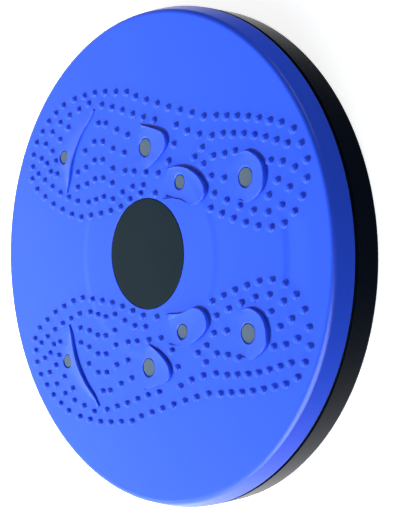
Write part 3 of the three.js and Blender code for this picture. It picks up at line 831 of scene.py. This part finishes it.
foot_profile = rounded([
    (0, 0.35), (2.2, 0.35, 0.2), (2.5, 0, 0.2), *sole_groove(3.6), *sole_groove(5.6), (FOOT_RADIUS, 0, 0.8),
    (FOOT_RADIUS, FOOT_THICKNESS, 0.3), (0, FOOT_THICKNESS),
], 3)
for i, place in enumerate(foot_places):
    foot = solid(f"foot_pad_{i + 1}", lathe(foot_profile, 64, place))
    finish_piece(foot, "base", RUBBER, [f"rubber_foot_{i + 1}"])


# The balls and their cage

ball_angles = circle_angles(BALL_COUNT, 0.5)
cage_profile = ring_profile(CAGE_INNER, CAGE_OUTER, CAGE_BOTTOM, CAGE_TOP, 0.3)
cage = solid("ball_cage_ring", lathe(cage_profile, ROUND_SIDES))
hole = cylinder_profile(CAGE_HOLE, 18, 25)
holes = [lathe(hole, 48, (RACE_PITCH * cos(a), RACE_PITCH * sin(a))) for a in ball_angles]
combine(cage, solid("holes", gathered(holes)), "DIFFERENCE")
finish_piece(cage, "cage", NYLON, ["ball_cage"])

for i, angle in enumerate(ball_angles):
    name = f"ball_{i + 1:02d}"
    ball = solid(f"bearing_{name}", lathe(arc((0, 0), BALL_RADIUS, -90, 90, 24), 48))
    ball.location = (RACE_PITCH * cos(angle) * MM, RACE_PITCH * sin(angle) * MM, BALL_Z * MM)
    finish_piece(ball, name, BALL_STEEL, [name])


# The pivot

def washer(name, outer, bottom, top_z, body, material, nodes):
    made = solid(name, lathe(ring_profile(BOLT_HOLE, outer, bottom, top_z, WASHER_EDGE), 96))
    finish_piece(made, body, material, nodes)


washer("washer_under_head", 9, 21.5, 22.7, "top", ZINC, ["top_washer"])
washer("washer_over_nut", 8, 9.5, 10.7, "top", ZINC, ["lower_washer"])
washer("thrust_ring", 14, 17.6, 18.6, "base", NYLON, ["thrust_washer"])

bush_profile = rounded([
    (BOLT_HOLE, BUSH_BOTTOM, 0.2), (BUSH_FLANGE, BUSH_BOTTOM, 0.15), (BUSH_FLANGE, BUSH_STEP, 0.15),
    (BUSH_RADIUS, BUSH_STEP), (BUSH_RADIUS, BUSH_TOP, 0.2), (BOLT_HOLE, BUSH_TOP, 0.2),
], 4)
bush = solid("bush_sleeve", lathe(bush_profile, 96))
finish_piece(bush, "base", BRASS, ["pivot_bush"])


def hexagon(name, bottom, top_z):
    """A hexagon with its upper corners chamfered."""
    corner = HEX_FLATS / sqrt(3)
    made = solid(name, prism(6, corner, bottom, top_z))
    rim = corner + 0.5
    fall = (corner - HEX_FACE) * tan(radians(30)) * 1.5
    cone = [(0, bottom), (rim, bottom), (rim, top_z - fall), (HEX_FACE, top_z), (0, top_z)]
    combine(made, solid("chamfer", lathe(cone, 96)), "INTERSECT")
    return made


bolt = hexagon("pivot_bolt_m6", HEAD_BOTTOM, HEAD_TOP)
shank = [(0, BOLT_END), (2.45, BOLT_END), (2.95, BOLT_END + 0.5)]
for groove in range(THREAD_TURNS):
    z = THREAD_START + groove
    shank += [(THREAD_CREST, z), (THREAD_CREST, z + 0.12), (THREAD_ROOT, z + 0.45), (THREAD_ROOT, z + 0.6),
              (THREAD_CREST, z + 0.93)]
shank += [(THREAD_CREST, THREAD_START + THREAD_TURNS + 0.1), (THREAD_CREST, HEAD_BOTTOM + ROOT),
          (0, HEAD_BOTTOM + ROOT)]
combine(bolt, solid("shank", lathe(shank, 64)), "UNION")
finish_piece(bolt, "top", ZINC, ["pivot_bolt"], 25)

nut = hexagon("lock_nut_m6", COLLAR_TOP, NUT_TOP)
collar = rounded([
    (0, NUT_BOTTOM), (4.3, NUT_BOTTOM, 0.1), (COLLAR_RADIUS, 3.5, 0.3), (COLLAR_RADIUS, COLLAR_TOP + ROOT),
    (0, COLLAR_TOP + ROOT),
], 4)
combine(nut, solid("collar", lathe(collar, 96)), "UNION")
combine(nut, solid("bore", lathe(cylinder_profile(BOLT_HOLE, 1, 11), 64)), "DIFFERENCE")
finish_piece(nut, "top", ZINC, ["lock_nut"], 25)


# Floor, light and camera

def shade_floor():
    return mottled(
        "floor_paint", (3, 2, (0.90, 0.90, 0.90), (0.92, 0.92, 0.92)), (60, 2, 0.8, 0.95), IOR=1.45,
        Specular_IOR_Level=0.0, Emission_Color=(1, 1, 1, 1), Emission_Strength=0.7).material


def shade_world(bright_side, low, high):
    """A soft room that is brightest towards one side."""
    world = bpy.data.worlds.new("studio")
    world.use_nodes = True
    tree = world.node_tree
    way = tree.nodes.new("ShaderNodeTexCoord").outputs["Generated"]
    towards = tree.nodes.new("ShaderNodeVectorMath")
    towards.operation = "DOT_PRODUCT"
    towards.inputs[1].default_value = bright_side
    tree.links.new(way, towards.inputs[0])
    level = tree.nodes.new("ShaderNodeMapRange")
    level.interpolation_type = "SMOOTHSTEP"
    for socket, number in zip(("From Min", "From Max", "To Min", "To Max"), (-0.1, 0.9, low, high)):
        level.inputs[socket].default_value = number
    tree.links.new(towards.outputs["Value"], level.inputs["Value"])
    tree.nodes["Background"].inputs["Color"].default_value = (1, 1, 1, 1)
    tree.links.new(level.outputs["Result"], tree.nodes["Background"].inputs["Strength"])
    return world


def softbox(name, place, size, watts, colour=(1, 1, 1)):
    """A rectangular light that looks at the disc."""
    data = bpy.data.lights.new(name, "AREA")
    data.shape = "RECTANGLE"
    data.size, data.size_y = size
    data.energy = watts
    data.color = colour
    lamp = bpy.data.objects.new(name, data)
    lamp.location = place
    lamp.rotation_euler = (Vector(LIGHT_AIM) - Vector(place)).to_track_quat("-Z", "Y").to_euler()
    bpy.context.scene.collection.objects.link(lamp)
    return lamp


corners = [(x * FLOOR_HALF, y * FLOOR_HALF, 0) for x, y in ((-1, -1), (1, -1), (1, 1), (-1, 1))]
floor = solid("floor", (corners, [[0, 1, 2, 3]]))
floor.location.z = -FLOOR_DROP * MM
floor.data.materials.append(shade_floor())
floor.visible_glossy = False
floor.visible_diffuse = False
floor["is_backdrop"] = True

bpy.context.scene.world = shade_world(bright_side=(-0.5, 0.75, -0.4), low=0.06, high=1.7)

# Of the lights, only the sheen shows as a reflection, and that is all it gives
for lamp in (
    softbox("key", (-0.53, 0.74, 0.71), (0.21, 0.21), 43),
    softbox("fill", (1.25, -0.65, 0.35), (0.9, 0.5), 13),
    softbox("side", (-1.35, -0.2, 0.33), (1.8, 0.5), 40, (0.86, 0.95, 1)),
):
    lamp.visible_glossy = False
softbox("sheen", (-1.1, -0.65, 0.9), (1.5, 1.5), 56, (0.8, 0.93, 1)).visible_diffuse = False

camera_data = bpy.data.cameras.new("camera")
camera_data.sensor_width = 36
camera_data.lens = CAMERA_LENS
camera_data.clip_start, camera_data.clip_end = 0.01, 100
camera = bpy.data.objects.new("camera", camera_data)
bpy.context.scene.collection.objects.link(camera)
aim = Vector(CAMERA_WAY).to_track_quat("-Z", "Y").to_matrix().to_4x4()
camera.matrix_world = Matrix.Translation(CAMERA_PLACE) @ aim @ Matrix.Rotation(radians(CAMERA_ROLL), 4, "Z")
bpy.context.scene.camera = camera

bpy.context.scene.view_settings.view_transform = "Standard"
bpy.context.scene.view_settings.look = "None"

low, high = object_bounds()
